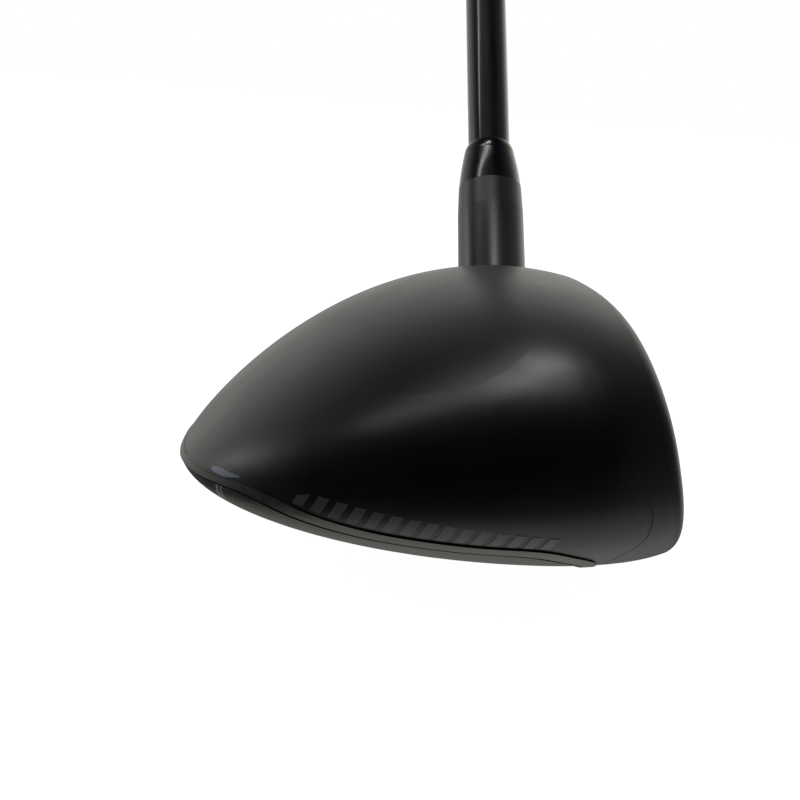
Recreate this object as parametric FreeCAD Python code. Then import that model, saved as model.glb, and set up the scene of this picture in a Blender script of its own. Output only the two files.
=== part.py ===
import FreeCAD, Part
import math
import os
from FreeCAD import Matrix, Placement, Rotation, Vector

# A right-handed adjustable fairway wood, in millimetres, at address on level ground.
# +X is the target (the face looks that way), -Y the toe, +Y the heel, +Z up.
# The origin is the point of the sole that rests on the ground.

# ---- Driving dimensions: head outline -----------------------------------------------------
NOSE_X = -54.4            # rearmost point of the head
FACE_X = 25.2             # leading edge, on the centre plane
TOE_REACH = 50.8          # widest half width on the toe side
HEEL_REACH = 49.1         # widest half width on the heel side
NOSE_HEIGHT = 9.2         # the rearmost point above the ground
CROWN_HEIGHT = 42.8       # highest point of the crown
CROWN_PEAK_X = 1.9        # where the crown is highest
CROWN_DROP = 5.6          # fall of the crown from its peak to the leading edge
SOLE_REST_X = 11.5        # where the centre line of the sole starts to lift toward the face
SOLE_RISE = 4.1           # camber of the sole at the leading edge
WAIST_FRONT_HEIGHT = 25.5  # height of the widest line at the face; it falls to the nose
WIDEST_X = 2.4            # station of the full width
TAPER_END_X = 62.0        # where the front taper would close if the face didn't cut it
LOFT_DEG = 15.3           # a 3-wood
FACE_RADIUS = 280.0       # bulge and roll
FACE_EDGE_ROUND = 3.0
# superellipse exponents: plan outline, crown line, sole line and the section's four quarters
PLAN_REAR = 1.97
PLAN_FRONT = 1.46
CROWN_LINE = (2.0, 1.15)
SOLE_LINE = (2.0, 1.7)
TOE_UPPER, TOE_LOWER, HEEL_UPPER, HEEL_LOWER = 2.42, 2.43, 2.2, 2.4
STATIONS = 20
SECTION_POINTS = 44
OUTLINE_POINTS = 12
NOSE_FLAT = 0.04          # the skin closes on a tiny end cap this far in front of the nose
LOFT_OVERRUN = 6.0        # the skin runs on past the leading edge; the face cuts it off

# ---- Driving dimensions: walls and seams of the head --------------------------------------
WALL = 1.8
FACE_THICK = 2.0
PANEL_THICK = 0.65        # crown and sole panels, bonded into pockets in the wall
GLUE = 0.15
TRIM_PROUD = 0.25         # polished lip round the sole stands this far out
TRIM_WIDTH = 1.25
GROOVE_WIDTH = 0.45
GROOVE_DEPTH = 0.3
CROWN_SEAM_INSET = 7.0    # in from the head's widest outline, seen from above
CROWN_SEAM_FRONT = -5.0
CROWN_SEAM_CORNER = 9.0
CROWN_SEAM_FLOOR = 12.5   # the crown's cutting block starts above the sole
LEDGE_WIDTH = 5.0         # how far the body reaches under the crown's edge
SOLE_LEDGE_SHIFT = (-4.0, -2.2)   # the sole ledge's inner edge, from its outer edge, in X and Z
SPINE_HALF_WIDTH = 7.0
# side outlines (X, Z) of the seams, each a smooth curve through a few points
TRIM_LINE = [(-60, 8.7), (-54, 10.3), (-51, 11.1), (-48.3, 11.75), (-45.3, 12.3), (-43, 12.45),
             (-40.3, 12.15), (-37, 11.6), (-31.5, 11), (-26, 10.68), (-20, 10.62), (-12, 10.62),
             (-4.5, 10.65), (-2.3, 10.4), (0, 9.85), (2.2, 9.15), (4.2, 8.4), (6, 7.1), (6.9, 4.4),
             (7, -1), (7, -8)]
CUP_LINE = [(1.5, 52), (1.6, 38), (3.8, 31), (7.6, 22.2), (11.2, 14.2)]
CUP_RETURN = [(10.2, 11.2), (8.4, 8.6), (7.8, 5), (7.8, -8)]
CUP_HEEL_GAP = 9.5        # the cup stops this far short of the hosel axis
SCORE_LINES = 8
SCORE_PITCH = 3.6
SCORE_WIDTH = 0.8
SCORE_DEPTH = 0.25
SCORE_FIRST = 7.0         # height of the lowest score line up the face
SCORE_HALF_LENGTH = 21.0
SCORE_CUTTER = 12.0       # height of the bars that cut the score lines
BADGE_OUTLINE = [(-49.5, 12.2), (-48.9, 12.75), (-47, 13.1), (-45.2, 13.2), (-46.4, 12.6), (-48.8, 11.95)]
BADGE_DEEP = 0.7

# ---- Driving dimensions: hosel, sleeve and bolt, as distances along the hosel axis ---------
LIE_DEG = 57.5
AXIS_GROUND = Vector(6.9, 28.5, 0)     # where the hosel axis meets the ground
HOSEL_RADIUS = 7.0
HOSEL_TOP = 40.5
HOSEL_BLEND = 3.0
HOSEL_ROOT = 24.0         # the hosel starts here, inside the head
HOSEL_CORE_TOP = 34.0     # below this the hosel's inside stays solid
SEAT_FLOOR = 17.5         # the bolt's washer presses up against this
SEAT_TOP = 19.2
SLEEVE_BOTTOM = 20.4
SOCKET_BOTTOM = 32.0      # the shaft's tip stands here, inside the sleeve
SLEEVE_TOP = 61.6
FERRULE_SHOULDER = 69.3
FERRULE_TOP = 71.8
RUN_CLEARANCE = 0.07      # radial, sleeve in hosel
INSERT_RADIUS = 5.8
SLEEVE_TOP_RADIUS = 6.65
SLEEVE_TAPER = 6.0        # the sleeve's top narrows over this length
SLEEVE_WAIST_RADIUS = 6.92
FERRULE_SHOULDER_RADIUS = 5.5
FERRULE_TOP_RADIUS = 4.65
FERRULE_FULLNESS = 0.12   # how far its outline bows outward
COLLAR_GAP = 0.05
KEY_SINK = 0.5            # the keys' root inside the insert
KEYS = 8
KEY_RADIUS = 6.5
KEY_WIDTH = 1.4
KEY_HEIGHT = 1.8
KEY_SLACK = 0.1
ACCESS_RADIUS = 5.4
ACCESS_FLOOR = 13.0
BOLT_POCKET_RADIUS = 4.3
BOLT_HEAD_RADIUS = 3.9
BOLT_HEAD_BOTTOM = 13.4
BOLT_HEAD_TOP = 16.5
WASHER_RADIUS = 4.0
BOLT_RADIUS = 2.45
BOLT_HOLE_RADIUS = 2.75
BOLT_TIP = 29.4
THREAD_TOP = 30.4
RETAINER_RADIUS = 4.2
RETAINER_THICK = 0.8

# ---- Driving dimensions: shaft and grip ----------------------------------------------------
TIP_RADIUS = 4.45
TIP_PARALLEL_END = 150.0
BUTT_RADIUS = 7.6
SHAFT_END = 1085.0
TIP_BORE_RADIUS = 2.8
BUTT_BORE_RADIUS = 6.55
PLUG_LENGTH = 10.0
GRIP_START = 822.0
GRIP_END = 1089.0
GRIP_MOUTH_RADIUS = 9.2
GRIP_MID_RADIUS = 10.4
GRIP_BUTT_RADIUS = 13.4
TAPE_THICK = 0.25
CAP_RADIUS = 11.0
CAP_SEAT = 1087.6
CAP_TOP = 1090.6
CAP_EDGE = 0.8
VENT_RADIUS = 1.5
GRIP_MOUTH_EDGE = 0.8
GRIP_MOUTH_LENGTH = 1.5
GRIP_LOWER_LENGTH = 120.0  # the slimmer part, below the hands
GRIP_BUTT_ROUND = 3.5

# ---- Driving dimensions: rear weight, as depths in from the sole's surface -----------------
WEIGHT_X = -34.0
WEIGHT_RADIUS = 8.0
PORT_RADIUS = 8.3
PORT_DEPTH = 7.0
PORT_FLOOR = 2.2
PORT_WALL = 1.9
GASKET_THICK = 0.4
GASKET_INSET = (0.6, 2.6)  # its two edges, in from the weight's rim
WEIGHT_RECESS = 0.6
SCREW_HEAD_RADIUS = 3.6
SCREW_POCKET_RADIUS = 3.9
SCREW_SEAT_DEPTH = 3.4
SCREW_TOP_DEPTH = 1.0
SCREW_RADIUS = 2.45
SCREW_HOLE_RADIUS = 2.75
SCREW_TIP_DEPTH = 16.6
WEIGHT_EDGE = 0.5
FASTENER_EDGE = 0.4
THREAD_CLEARANCE = 0.05
BOSS_RADIUS = 4.4
BOSS_DEPTH = 17.4
DRIVE_RADIUS = 2.25       # six-lobed drive socket
DRIVE_LOBE = 0.28
DRIVE_DEPTH = 1.7
MELT_RADIUS = 9.0
MELT_X = -9.0
MELT_SINK = 6.0

FAR = 90.0                # larger than the head, for cutting tools
PAST_FACE = 4.0           # open-fronted skins run this far past the face
TOLERANCE = 0.05          # how near a point lies to what it is said to lie on
LOFT = math.radians(LOFT_DEG)
LIE = math.radians(LIE_DEG)
HOSEL_AXIS = Vector(0, math.cos(LIE), math.sin(LIE))
FACE_NORMAL = Vector(math.cos(LOFT), 0, math.sin(LOFT))
FACE_CENTRE_HEIGHT = 0.45 * CROWN_HEIGHT
FACE_CENTRE = Vector(FACE_X - FACE_CENTRE_HEIGHT * math.tan(LOFT), 0, FACE_CENTRE_HEIGHT)
FACE_BALL_CENTRE = FACE_CENTRE - FACE_NORMAL * FACE_RADIUS
HOSEL = Placement(AXIS_GROUND, Rotation(Vector(0, 0, 1), HOSEL_AXIS))


# ---- Shape helpers -------------------------------------------------------------------------
def falloff(t, p, q):
    """One at t = 0, falling to zero at t = 1 along a superellipse."""
    return max(0.0, 1 - abs(t) ** p) ** (1 / q)


def crown_height(x):
    if x < CROWN_PEAK_X:
        t = (CROWN_PEAK_X - x) / (CROWN_PEAK_X - NOSE_X)
        return NOSE_HEIGHT + (CROWN_HEIGHT - NOSE_HEIGHT) * falloff(t, *CROWN_LINE)
    return CROWN_HEIGHT - CROWN_DROP * ((x - CROWN_PEAK_X) / (FACE_X - CROWN_PEAK_X)) ** 2


def sole_height(x):
    if x < SOLE_REST_X:
        t = (SOLE_REST_X - x) / (SOLE_REST_X - NOSE_X)
        return NOSE_HEIGHT * (1 - falloff(t, *SOLE_LINE))
    return SOLE_RISE * ((x - SOLE_REST_X) / (FACE_X - SOLE_REST_X)) ** 2


def waist_height(x):
    return NOSE_HEIGHT + (WAIST_FRONT_HEIGHT - NOSE_HEIGHT) * (x - NOSE_X) / (FACE_X - NOSE_X)


def width_share(x):
    if x < WIDEST_X:
        return falloff((WIDEST_X - x) / (WIDEST_X - NOSE_X), PLAN_REAR, PLAN_REAR)
    return falloff((x - WIDEST_X) / (TAPER_END_X - WIDEST_X), PLAN_FRONT, 2)


def head_section(x):
    """Points round the head's outline across one station: four superellipse quarters."""
    share, waist = width_share(x), waist_height(x)
    up, down = crown_height(x) - waist, waist - sole_height(x)
    points = []
    for i in range(SECTION_POINTS):
        turn = 2 * math.pi * (i + 0.5) / SECTION_POINTS
        across, rise = math.cos(turn), math.sin(turn)
        if across < 0:
            reach, exponent = TOE_REACH, TOE_UPPER if rise > 0 else TOE_LOWER
        else:
            reach, exponent = HEEL_REACH, HEEL_UPPER if rise > 0 else HEEL_LOWER
        half_height = up if rise > 0 else down
        y = math.copysign(abs(across) ** (2 / exponent), across) * reach * share
        z = waist + math.copysign(abs(rise) ** (2 / exponent), rise) * half_height
        points.append(Vector(x, y, z))
    return points


def head_loft():
    """The head's skin from nose to just past the face, closed round; stations crowd at the nose."""
    front = FACE_X + LOFT_OVERRUN
    first = math.acos(1 - NOSE_FLAT / (front - NOSE_X))
    turns = [first + (math.pi / 2 - first) * i / (STATIONS - 1) for i in range(STATIONS)]
    rings = []
    for turn in turns:
        ring = Part.BSplineCurve()
        points = head_section(NOSE_X + (front - NOSE_X) * (1 - math.cos(turn)))
        ring.interpolate(Points=points, PeriodicFlag=True, Parameters=list(range(SECTION_POINTS + 1)))
        rings.append(ring)
    ribs = []
    for row in zip(*[ring.getPoles() for ring in rings]):
        rib = Part.BSplineCurve()
        rib.interpolate(Points=list(row), Parameters=turns)
        ribs.append(rib)
    poles = [list(row) for row in zip(*[rib.getPoles() for rib in ribs])]
    rib, ring = ribs[0], rings[0]
    surface = Part.BSplineSurface()
    surface.buildFromPolesMultsKnots(poles, rib.getMultiplicities(), ring.getMultiplicities(),
                                     rib.getKnots(), ring.getKnots(), False, True,
                                     rib.Degree, ring.Degree)
    caps = [Part.Face(Part.Wire([surface.uIso(turn).toShape()])) for turn in (turns[0], turns[-1])]
    shell = Part.Shell([surface.toShape()] + caps)
    shell.sewShape()
    solid = Part.Solid(shell)
    if solid.Volume < 0:
        solid.reverse()
    return solid


def face_ball(depth):
    """Everything behind the face, whose bulge and roll are one sphere."""
    ball = Part.makeSphere(FACE_RADIUS - depth, FACE_BALL_CENTRE)
    ball.rotate(FACE_BALL_CENTRE, Vector(0, 0, 1), 180)
    return ball


def shrunk_head(depth, face_depth):
    """The head with its skin moved in by depth, and its face by face_depth."""
    fixed = Vector(FACE_X, 0, CROWN_HEIGHT / 2)
    matrix = Matrix()
    matrix.move(fixed * -1)
    matrix.scale(Vector(1 - depth / (FACE_X - NOSE_X), 1 - depth / HEEL_REACH,
                        1 - depth / (CROWN_HEIGHT / 2)))
    matrix.move(fixed)
    return HEAD_LOFT.transformGeometry(matrix).common(face_ball(face_depth))


def skin(outer_depth, inner_depth):
    """The layer of the head's wall between two depths, face left open."""
    return shrunk_head(outer_depth, -PAST_FACE).cut(shrunk_head(inner_depth, -2 * PAST_FACE))


def side_prism(curve, corners, y_from=-FAR, y_to=FAR):
    """A solid across the head: its side outline is a smooth curve, closed by corners if given."""
    def at(point):
        return Vector(point[0], y_from, point[1])
    spline = Part.BSplineCurve()
    spline.interpolate(Points=[at(point) for point in curve], PeriodicFlag=not corners)
    edges = [spline.toShape()]
    if corners:
        corners = [curve[-1]] + corners + [curve[0]]
    for a, b in zip(corners, corners[1:]):
        edges.append(Part.makeLine(at(a), at(b)))
    return Part.Face(Part.Wire(edges)).extrude(Vector(0, y_to - y_from, 0))


def plan_prism(inset, front):
    """An upright block with the head's rear outline, moved in by inset and squared off in front."""
    toe_side, heel_side = [], []
    for i in range(OUTLINE_POINTS):
        turn = math.pi / 2 * i / (OUTLINE_POINTS - 1)
        x = NOSE_X + (WIDEST_X - NOSE_X) * (1 - math.cos(turn))
        place = WIDEST_X + (x - WIDEST_X) * (1 - inset / (WIDEST_X - NOSE_X))
        share = width_share(x)
        toe_side.append(Vector(place, -(TOE_REACH - inset) * share, CROWN_SEAM_FLOOR))
        heel_side.append(Vector(place, (HEEL_REACH - inset) * share, CROWN_SEAM_FLOOR))
    curve = Part.BSplineCurve()
    curve.interpolate(Points=toe_side[::-1] + heel_side[1:])
    closing = Part.makeLine(heel_side[-1], toe_side[-1])
    block = Part.Face(Part.Wire([curve.toShape(), closing])).extrude(Vector(0, 0, FAR))
    block = block.cut(Part.makeBox(FAR, 2 * FAR, 3 * FAR, Vector(front, -FAR, -FAR)))

    def is_front_corner(edge):
        upright = edge.tangentAt(edge.FirstParameter).cross(Vector(0, 0, 1)).Length < TOLERANCE
        return upright and abs(edge.CenterOfMass.x - front) < TOLERANCE
    return block.makeFillet(CROWN_SEAM_CORNER, [edge for edge in block.Edges if is_front_corner(edge)])


def shifted(points, dx, dz):
    return [(x + dx, z + dz) for x, z in points]


def turned(profile, place, arcs=()):
    """A solid of revolution from (radius, height) points, set on its place."""
    points = [Vector(r, 0, h) for r, h in profile]
    edges = []
    for i, point in enumerate(points):
        after = points[(i + 1) % len(points)]
        if i in dict(arcs):
            r, h = dict(arcs)[i]
            edges.append(Part.Arc(point, Vector(r, 0, h), after).toShape())
        else:
            edges.append(Part.makeLine(point, after))
    solid = Part.Face(Part.Wire(edges)).revolve(Vector(), Vector(0, 0, 1), 360)
    solid.Placement = place
    return solid


def rod(radius, low, high, place):
    return turned([(0, low), (radius, low), (radius, high), (0, high)], place)


def tube(inner, outer, low, high, place):
    return turned([(inner, low), (outer, low), (outer, high), (inner, high)], place)


def drive_socket(low, high, place):
    """A six-lobed socket between two heights."""
    points = []
    for i in range(48):
        turn = 2 * math.pi * i / 48
        r = DRIVE_RADIUS + DRIVE_LOBE * math.cos(6 * turn)
        points.append(Vector(r * math.cos(turn), r * math.sin(turn), low))
    curve = Part.BSplineCurve()
    curve.interpolate(Points=points, PeriodicFlag=True)
    solid = Part.Face(Part.Wire([curve.toShape()])).extrude(Vector(0, 0, high - low))
    solid.Placement = place
    return solid


def weight_place():
    """Height zero on the sole's surface at the weight's centre, +Z straight out of the sole."""
    step = 0.5
    slope = (sole_height(WEIGHT_X + step) - sole_height(WEIGHT_X - step)) / (2 * step)
    outward = Vector(slope, 0, -1).normalize()
    return Placement(Vector(WEIGHT_X, 0, sole_height(WEIGHT_X)), Rotation(Vector(0, 0, 1), outward))


def joined(pieces):
    return pieces[0].fuse(pieces[1:]).removeSplitter()


def largest(shape):
    return max(shape.Solids, key=lambda solid: solid.Volume)


# ---- Master solids and regions -------------------------------------------------------------
HEAD_LOFT = head_loft()
WEIGHT = weight_place()
TRIM_REGION = side_prism(TRIM_LINE, [(-70, -8), (-70, 7.6)])
GROOVE_REGION = side_prism(shifted(TRIM_LINE, -TRIM_WIDTH, -TRIM_WIDTH), [(-75, -9.1), (-75, 6.5)])
PANEL_LINE = shifted(TRIM_LINE, -TRIM_WIDTH - GROOVE_WIDTH, -TRIM_WIDTH - GROOVE_WIDTH)
PANEL_REGION = side_prism(PANEL_LINE, [(-80, -9.9), (-80, 5.7)])
SOLE_WINDOW = side_prism(shifted(PANEL_LINE, *SOLE_LEDGE_SHIFT), [(-85, -12), (-85, 4)])
CROWN_REGION = plan_prism(CROWN_SEAM_INSET, CROWN_SEAM_FRONT)
CROWN_WINDOW = plan_prism(CROWN_SEAM_INSET + LEDGE_WIDTH, CROWN_SEAM_FRONT - LEDGE_WIDTH)
CUP_REGION = side_prism(CUP_LINE, CUP_RETURN + [(60, -8), (60, 52)])
BADGE_REGION = side_prism(BADGE_OUTLINE, [], -FAR, -NOSE_HEIGHT)


def cup_region():
    """Ahead of the cup's seam, and toe-side of a slanted seam beside the hosel."""
    heel_block = Part.makeBox(2 * FAR, FAR, 3 * FAR, Vector(-FAR, -CUP_HEEL_GAP, -FAR))
    heel_block.Placement = HOSEL
    return CUP_REGION.cut(heel_block)


def key_blocks(slack, low):
    """Blocks shaped like the sleeve's keys; with slack, they cut the notches that take the keys."""
    blocks = []
    for i in range(KEYS):
        width = KEY_WIDTH + 2 * slack
        block = Part.makeBox(KEY_RADIUS + slack, width, HOSEL_TOP - low, Vector(0, -width / 2, low))
        block.rotate(Vector(), Vector(0, 0, 1), 360 * i / KEYS)
        blocks.append(block)
    ring = joined(blocks).common(Part.makeCylinder(KEY_RADIUS + slack, FAR))
    ring.Placement = HOSEL
    return ring


# ---- The head's pieces ---------------------------------------------------------------------
def outer_head():
    """The head's full outside, with a rounded face edge and the hosel blended in."""
    head = shrunk_head(0, 0)
    face = [f for f in head.Faces if isinstance(f.Surface, Part.Sphere)][0]
    head = head.makeFillet(FACE_EDGE_ROUND, face.Edges)
    whole = head.fuse(rod(HOSEL_RADIUS, HOSEL_ROOT, HOSEL_TOP, HOSEL))

    def on_junction(edge):
        points = [point - AXIS_GROUND for point in edge.discretize(9)]
        off_axis = [point.cross(HOSEL_AXIS).Length for point in points]
        along = [point.dot(HOSEL_AXIS) for point in points]
        on_hosel = max(abs(r - HOSEL_RADIUS) for r in off_axis) < TOLERANCE
        return on_hosel and max(along) < HOSEL_TOP - TOLERANCE
    return whole.makeFillet(HOSEL_BLEND, [edge for edge in whole.Edges if on_junction(edge)])


OUTSIDE = outer_head()
INSIDE = shrunk_head(WALL, FACE_THICK)
CUP = cup_region()
HOSEL_CORE = rod(HOSEL_RADIUS, -FAR / 2, HOSEL_CORE_TOP, HOSEL)
PORT_CORE = rod(PORT_RADIUS + PORT_WALL, -PORT_DEPTH - PORT_FLOOR, FAR / 2, WEIGHT)
BOSS = rod(BOSS_RADIUS, -BOSS_DEPTH, -PORT_DEPTH - PORT_FLOOR, WEIGHT)
SPINE = Part.makeBox(FAR, 2 * SPINE_HALF_WIDTH, FAR, Vector(-FAR, -SPINE_HALF_WIDTH, -FAR / 2))


def hosel_bores():
    """What is open along the hosel axis: sleeve bore, bolt hole, head pocket and wrench access."""
    return [rod(INSERT_RADIUS + RUN_CLEARANCE, SEAT_TOP, HOSEL_TOP + 1, HOSEL),
            rod(BOLT_HOLE_RADIUS, SEAT_FLOOR - 1, SEAT_TOP + 1, HOSEL),
            rod(BOLT_POCKET_RADIUS, ACCESS_FLOOR - 1, SEAT_FLOOR, HOSEL),
            rod(ACCESS_RADIUS, -FAR, ACCESS_FLOOR, HOSEL),
            key_blocks(KEY_SLACK, HOSEL_TOP - KEY_HEIGHT - KEY_SLACK)]


def weight_port():
    """The weight's open port and the threaded hole below it."""
    return [rod(PORT_RADIUS, -PORT_DEPTH, FAR, WEIGHT),
            rod(SCREW_RADIUS + THREAD_CLEARANCE, -BOSS_DEPTH - 1, -PORT_DEPTH + 1, WEIGHT)]


def head_body():
    """Cast steel body: skirt, trim lip, pockets for both panels, hosel tube and weight port."""
    cavity = INSIDE.cut([HOSEL_CORE, PORT_CORE, BOSS])
    below_panels = shrunk_head(PANEL_THICK + GLUE, 0)
    body = OUTSIDE.fuse(shrunk_head(-TRIM_PROUD, 0).common(TRIM_REGION))
    body = body.cut(cavity).cut(CUP)
    body = body.cut(GROOVE_REGION.cut([shrunk_head(GROOVE_DEPTH, -PAST_FACE), PORT_CORE, HOSEL_CORE]))
    body = body.cut(PANEL_REGION.cut([below_panels, PORT_CORE, HOSEL_CORE]))
    body = body.cut(SOLE_WINDOW.cut([SPINE, PORT_CORE, HOSEL_CORE, BOSS]))
    body = body.cut(CROWN_REGION.cut([below_panels, BOSS]))
    body = body.cut(CROWN_WINDOW.cut(BOSS))
    body = body.cut(BADGE_REGION.cut(shrunk_head(BADGE_DEEP, 0)))
    for hole in hosel_bores() + weight_port():
        body = body.cut(hole)
    return largest(body)


def face_cup():
    """Forged face with its wrap-round return, welded to the body, with milled score lines."""
    cup = OUTSIDE.cut(INSIDE).common(CUP).cut(HOSEL_CORE)
    across = Vector(0, 1, 0)
    up_face = Vector(-math.sin(LOFT), 0, math.cos(LOFT))
    bottom = FACE_CENTRE - up_face * (FACE_CENTRE_HEIGHT / math.cos(LOFT))
    bars = []
    for i in range(SCORE_LINES):
        middle = bottom + up_face * (SCORE_FIRST + i * SCORE_PITCH)
        bar = Part.makeBox(2 * SCORE_HALF_LENGTH, SCORE_WIDTH, SCORE_CUTTER,
                           Vector(-SCORE_HALF_LENGTH, 0, -SCORE_CUTTER / 2))
        bar.Placement = Placement(middle, Rotation(across, up_face, FACE_NORMAL, "XYZ"))
        bars.append(bar)
    grooves = Part.Compound(bars).cut(face_ball(SCORE_DEPTH))
    return largest(cup.cut(grooves))


def crown_panel():
    """Carbon-fibre crown, flush with the body round it."""
    return largest(skin(0, PANEL_THICK).common(CROWN_REGION))


def crown_adhesive():
    layer = skin(PANEL_THICK, PANEL_THICK + GLUE)
    return largest(layer.common(CROWN_REGION.cut(CROWN_WINDOW)))


def sole_panel():
    """Sole cover inside the trim lip, open round the weight port and the wrench access."""
    return largest(skin(0, PANEL_THICK).common(PANEL_REGION.cut([PORT_CORE, HOSEL_CORE])))


def sole_adhesive():
    layer = skin(PANEL_THICK, PANEL_THICK + GLUE)
    ledge = PANEL_REGION.cut(SOLE_WINDOW.cut(SPINE)).cut([PORT_CORE, HOSEL_CORE])
    return largest(layer.common(ledge))


def badge():
    """Small inlay above the trim lip at the toe side of the tail."""
    return largest(BADGE_REGION.common(skin(0, BADGE_DEEP)))


def hot_melt():
    """A pad of rattle-stop glue stuck on the spine inside the head."""
    centre = Vector(MELT_X, 0, sole_height(MELT_X) + WALL - MELT_SINK)
    return largest(Part.makeSphere(MELT_RADIUS, centre).common(INSIDE))


# ---- Rear weight ---------------------------------------------------------------------------
def rear_weight():
    top, bottom = -WEIGHT_RECESS, -PORT_DEPTH + GASKET_THICK
    profile = [(SCREW_HOLE_RADIUS, bottom), (WEIGHT_RADIUS - WEIGHT_EDGE, bottom),
               (WEIGHT_RADIUS, bottom + WEIGHT_EDGE), (WEIGHT_RADIUS, top - WEIGHT_EDGE),
               (WEIGHT_RADIUS - WEIGHT_EDGE, top), (SCREW_POCKET_RADIUS, top),
               (SCREW_POCKET_RADIUS, -SCREW_SEAT_DEPTH), (SCREW_HOLE_RADIUS, -SCREW_SEAT_DEPTH)]
    return turned(profile, WEIGHT)


def weight_gasket():
    outer, inner = [WEIGHT_RADIUS - inset for inset in GASKET_INSET]
    return tube(inner, outer, -PORT_DEPTH, -PORT_DEPTH + GASKET_THICK, WEIGHT)


def rear_weight_screw():
    profile = [(0, -SCREW_TIP_DEPTH), (SCREW_RADIUS - FASTENER_EDGE, -SCREW_TIP_DEPTH),
               (SCREW_RADIUS, -SCREW_TIP_DEPTH + FASTENER_EDGE), (SCREW_RADIUS, -SCREW_SEAT_DEPTH),
               (SCREW_HEAD_RADIUS, -SCREW_SEAT_DEPTH),
               (SCREW_HEAD_RADIUS, -SCREW_TOP_DEPTH - FASTENER_EDGE),
               (SCREW_HEAD_RADIUS - FASTENER_EDGE, -SCREW_TOP_DEPTH), (0, -SCREW_TOP_DEPTH)]
    socket = drive_socket(-SCREW_TOP_DEPTH - DRIVE_DEPTH, -SCREW_TOP_DEPTH + 1, WEIGHT)
    return turned(profile, WEIGHT).cut(socket)


# ---- Hosel bolt ----------------------------------------------------------------------------
def hosel_bolt():
    profile = [(0, BOLT_HEAD_BOTTOM), (BOLT_HEAD_RADIUS - FASTENER_EDGE, BOLT_HEAD_BOTTOM),
               (BOLT_HEAD_RADIUS, BOLT_HEAD_BOTTOM + FASTENER_EDGE), (BOLT_HEAD_RADIUS, BOLT_HEAD_TOP),
               (BOLT_RADIUS, BOLT_HEAD_TOP), (BOLT_RADIUS, BOLT_TIP - FASTENER_EDGE),
               (BOLT_RADIUS - FASTENER_EDGE, BOLT_TIP), (0, BOLT_TIP)]
    socket = drive_socket(BOLT_HEAD_BOTTOM - 1, BOLT_HEAD_BOTTOM + DRIVE_DEPTH, HOSEL)
    return turned(profile, HOSEL).cut(socket)


def bolt_washer():
    return tube(BOLT_HOLE_RADIUS, WASHER_RADIUS, BOLT_HEAD_TOP, SEAT_FLOOR, HOSEL)


def bolt_retainer():
    """Push-on ring that keeps the loosened bolt in the head."""
    low = SEAT_TOP + COLLAR_GAP
    return tube(BOLT_RADIUS, RETAINER_RADIUS, low, low + RETAINER_THICK, HOSEL)


# ---- Shaft assembly ------------------------------------------------------------------------
def shaft_radius(s):
    share = max(0.0, s - TIP_PARALLEL_END) / (SHAFT_END - TIP_PARALLEL_END)
    return TIP_RADIUS + (BUTT_RADIUS - TIP_RADIUS) * share


def adapter_sleeve():
    """Aluminium sleeve: keyed insert, threaded below, shaft socket above, collar on top."""
    collar = HOSEL_TOP + COLLAR_GAP
    thread = BOLT_RADIUS + THREAD_CLEARANCE
    profile = [(thread, SLEEVE_BOTTOM), (INSERT_RADIUS, SLEEVE_BOTTOM), (INSERT_RADIUS, collar),
               (HOSEL_RADIUS, collar), (SLEEVE_WAIST_RADIUS, SLEEVE_TOP - SLEEVE_TAPER),
               (SLEEVE_TOP_RADIUS, SLEEVE_TOP),
               (TIP_RADIUS, SLEEVE_TOP), (TIP_RADIUS, SOCKET_BOTTOM), (0, SOCKET_BOTTOM),
               (0, THREAD_TOP), (thread, THREAD_TOP)]
    root = INSERT_RADIUS - KEY_SINK
    keys = key_blocks(0, HOSEL_TOP - KEY_HEIGHT).cut(rod(root, 0, FAR, HOSEL))
    keys = keys.fuse(tube(root, KEY_RADIUS, HOSEL_TOP, collar, HOSEL))
    return joined([turned(profile, HOSEL), keys])


def ferrule():
    """Plastic cone from the sleeve's top down to the shaft, slightly full, with a round shoulder."""
    full = ((SLEEVE_TOP_RADIUS + FERRULE_SHOULDER_RADIUS) / 2 + FERRULE_FULLNESS,
            (SLEEVE_TOP + FERRULE_SHOULDER) / 2)
    shoulder = ((FERRULE_SHOULDER_RADIUS + FERRULE_TOP_RADIUS) / 2 + FERRULE_FULLNESS,
                (FERRULE_SHOULDER + FERRULE_TOP) / 2 + FERRULE_FULLNESS)
    profile = [(TIP_RADIUS, SLEEVE_TOP), (SLEEVE_TOP_RADIUS, SLEEVE_TOP),
               (FERRULE_SHOULDER_RADIUS, FERRULE_SHOULDER), (FERRULE_TOP_RADIUS, FERRULE_TOP),
               (TIP_RADIUS, FERRULE_TOP)]
    return turned(profile, HOSEL, arcs=[(1, full), (2, shoulder)])


def shaft():
    profile = [(TIP_BORE_RADIUS, SOCKET_BOTTOM), (TIP_RADIUS, SOCKET_BOTTOM),
               (TIP_RADIUS, TIP_PARALLEL_END), (BUTT_RADIUS, SHAFT_END),
               (BUTT_BORE_RADIUS, SHAFT_END), (TIP_BORE_RADIUS, TIP_PARALLEL_END)]
    return turned(profile, HOSEL)


def tip_plug():
    return rod(TIP_BORE_RADIUS, SOCKET_BOTTOM, SOCKET_BOTTOM + PLUG_LENGTH, HOSEL)


def grip_tape():
    low, high = shaft_radius(GRIP_START), shaft_radius(SHAFT_END)
    profile = [(low, GRIP_START), (low + TAPE_THICK, GRIP_START), (high + TAPE_THICK, SHAFT_END),
               (high, SHAFT_END)]
    return turned(profile, HOSEL)


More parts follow.
